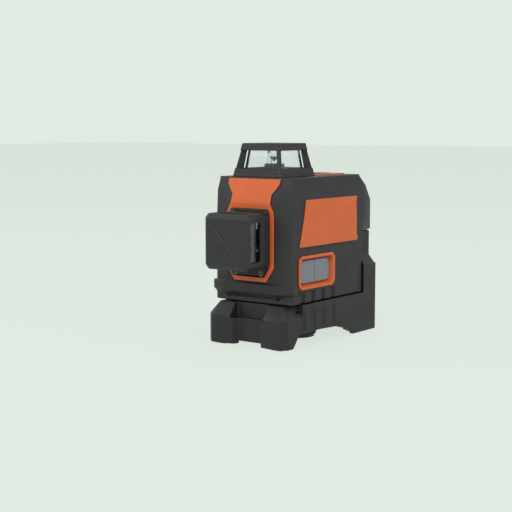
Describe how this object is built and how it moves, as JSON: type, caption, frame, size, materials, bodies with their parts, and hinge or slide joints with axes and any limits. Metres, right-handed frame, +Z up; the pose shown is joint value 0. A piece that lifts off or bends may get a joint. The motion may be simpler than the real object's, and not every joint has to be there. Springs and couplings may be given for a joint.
{
  "type": "multi-plane laser level",
  "caption": "Self-levelling laser level: shell with a gimballed pendulum and three cone emitters behind windows, turning on an L-shaped magnetic bracket.",
  "frame": {"origin": "mouth of the large tripod thread, on the turning axis, in the plane the feet stand on", "axes": "+Z up along the turning axis, -Y towards the front window box, +X towards the keys"},
  "size_m": [0.108, 0.1605, 0.158],
  "materials": {
    "black_shell": "fine spark texture",
    "black_bracket": "fine spark texture",
    "orange_trim": "satin",
    "grey_key": "soft touch",
    "black_frame": "semi gloss",
    "window_glass": "polished",
    "soft_rubber": "matt",
    "magnet": "nickel plated",
    "screw_steel": "zinc plated, black",
    "bright_steel": "ground",
    "thread_brass": "turned",
    "cast_aluminium": "die cast",
    "cone_mirror": "polished",
    "acetal": "smooth",
    "board_green": "solder mask",
    "switch_black": "smooth",
    "cell_wrap": "shrink wrap"
  },
  "bodies": {
    "bracket": {"bracket": "black_bracket", "foot_pads": "soft_rubber", "wall_magnets": "magnet", "hub": "thread_brass", "small_insert": "thread_brass", "thrust_washer": "acetal", "retainer": "screw_steel", "retainer_screws": "screw_steel"},
    "housing": {"lower_housing": "black_shell", "upper_housing": "black_shell", "seam_seal": "soft_rubber", "housing_screws": "screw_steel", "front_trim": "orange_trim", "label_panel": "orange_trim", "top_panel": "orange_trim", "key_bezel": "orange_trim", "key_board": "board_green", "tact_switches": "switch_black", "board_screws": "screw_steel", "front_box": "black_shell", "side_box": "black_shell", "front_glass": "window_glass", "side_glass": "window_glass", "front_box_screws": "screw_steel", "side_box_screws": "screw_steel", "cage": "black_shell", "cage_frame": "black_frame", "cage_panes": "window_glass", "cage_screws": "screw_steel", "hanger": "cast_aluminium", "hanger_bearings": "bright_steel", "lock_stand": "acetal", "damper_magnets": "magnet", "battery_cells": "cell_wrap", "battery_holder": "switch_black", "main_board": "board_green", "charge_port": "bright_steel", "hub_bush": "acetal"},
    "key_front": {"key_front": "grey_key"},
    "key_back": {"key_back": "grey_key"},
    "port_flap": {"port_flap": "soft_rubber"},
    "lock_slider": {"lock_slider": "black_shell"},
    "lock_plunger": {"lock_plunger": "acetal"},
    "gimbal_ring": {"gimbal_ring": "cast_aluminium", "ring_pins": "bright_steel", "ring_bearings": "bright_steel"},
    "pendulum": {"pendulum_block": "cast_aluminium", "trunnions": "bright_steel", "top_barrel": "thread_brass", "front_barrel": "thread_brass", "side_barrel": "cast_aluminium", "lenses": "window_glass", "diodes": "bright_steel", "sleeves": "window_glass", "cone_mirrors": "cone_mirror", "pendulum_weight": "thread_brass", "damper_disc": "cast_aluminium", "balance_weight": "thread_brass", "trim_screws": "screw_steel"}
  },
  "joints": [
    {"name": "swivel", "type": "hinge", "parent": "bracket", "child": "housing", "pos_m": [0, 0, 0.034], "axis": [0, 0, 1], "range_deg": [-25, 90]},
    {"name": "gimbal_pitch", "type": "hinge", "parent": "housing", "child": "gimbal_ring", "pos_m": [0, -0.03, 0.118], "axis": [1, 0, 0], "range_deg": [-4, 4]},
    {"name": "gimbal_roll", "type": "hinge", "parent": "gimbal_ring", "child": "pendulum", "pos_m": [0, -0.03, 0.118], "axis": [0, 1, 0], "range_deg": [-4, 4]},
    {"name": "key_front_press", "type": "slide", "parent": "housing", "child": "key_front", "axis": [-1, 0, 0], "range_m": [0, 0.001], "stiffness_N_per_m": 600, "springref_m": -0.0005},
    {"name": "key_back_press", "type": "slide", "parent": "housing", "child": "key_back", "axis": [-1, 0, 0], "range_m": [0, 0.001], "stiffness_N_per_m": 600, "springref_m": -0.0005},
    {"name": "lock_slide", "type": "slide", "parent": "housing", "child": "lock_slider", "axis": [0, 1, 0], "range_m": [0, 0.008]},
    {"name": "plunger_lift", "type": "slide", "parent": "housing", "child": "lock_plunger", "axis": [0, 0, 1], "range_m": [0, 0.003]},
    {"name": "port_flap_hinge", "type": "hinge", "parent": "housing", "child": "port_flap", "pos_m": [0.012, 0.0655, 0.1025], "axis": [1, 0, 0], "range_deg": [0, 110]}
  ],
  "couplings": [
    {"joint": "plunger_lift", "follows": "lock_slide", "ratio": 0.375}
  ]
}
